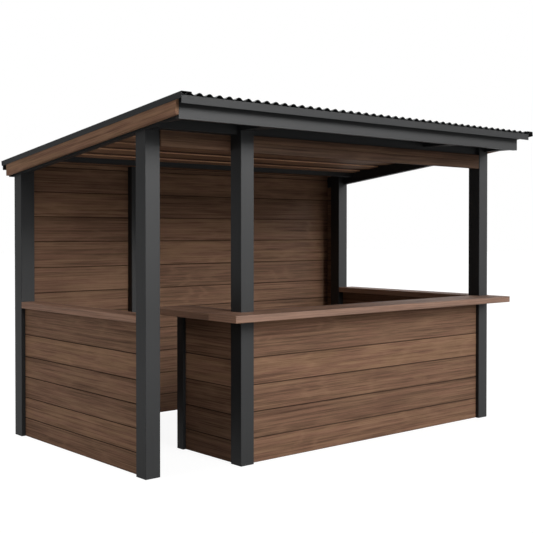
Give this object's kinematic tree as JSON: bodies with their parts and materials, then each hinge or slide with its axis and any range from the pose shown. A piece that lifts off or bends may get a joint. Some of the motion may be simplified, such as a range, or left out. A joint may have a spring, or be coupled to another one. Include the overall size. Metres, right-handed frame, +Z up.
{
  "type": "wooden market stall",
  "caption": "Open-fronted timber market stall with boarded low walls, a wide counter and ledges, a boarded back wall and a lean-to corrugated steel roof on square posts.",
  "frame": {"origin": "middle of the roof's outline, at ground level under the posts", "axes": "+X along the counter to the customer's right, +Y from the counter towards the back wall, +Z up"},
  "size_m": [3.689, 2.4872, 2.481],
  "materials": {
    "painted_timber": "dark grey opaque paint on planed softwood, satin",
    "oiled_boards": "brown oiled softwood boards, matt, grain showing",
    "worktop_timber": "paler oiled softwood, matt, worn smooth",
    "roof_steel": "dark grey coated steel sheet, satin"
  },
  "bodies": {
    "root": {"post_front_left": "painted_timber", "post_counter_left": "painted_timber", "post_front_right": "painted_timber", "post_back_left": "painted_timber", "post_back_middle": "painted_timber", "post_back_right": "painted_timber", "post_counter_return": "painted_timber", "left_rafter": "painted_timber", "right_rafter": "painted_timber", "front_beam": "painted_timber", "back_beam_left": "painted_timber", "back_beam_right": "painted_timber", "overhang_arm_left": "painted_timber", "overhang_arm_right": "painted_timber", "front_fascia": "painted_timber", "back_fascia": "painted_timber", "ceiling_batten": "painted_timber", "left_barge_packer": "painted_timber", "counter_front_panel": "oiled_boards", "counter_return_panel": "oiled_boards", "left_low_wall": "oiled_boards", "right_low_wall": "oiled_boards", "back_wall_left": "oiled_boards", "back_wall_right": "oiled_boards", "back_corner_panel": "oiled_boards", "ceiling": "oiled_boards", "valance_front_lower": "oiled_boards", "valance_front_upper": "oiled_boards", "valance_entrance_lower": "oiled_boards", "valance_entrance_upper": "oiled_boards", "left_barge": "oiled_boards", "right_barge": "oiled_boards", "countertop_front": "worktop_timber", "countertop_return": "worktop_timber", "left_ledge": "worktop_timber", "right_ledge": "worktop_timber", "roof_sheet": "roof_steel", "front_flashing": "roof_steel", "back_flashing": "roof_steel", "left_verge_flashing": "roof_steel", "right_verge_flashing": "roof_steel"}
  },
  "joints": []
}
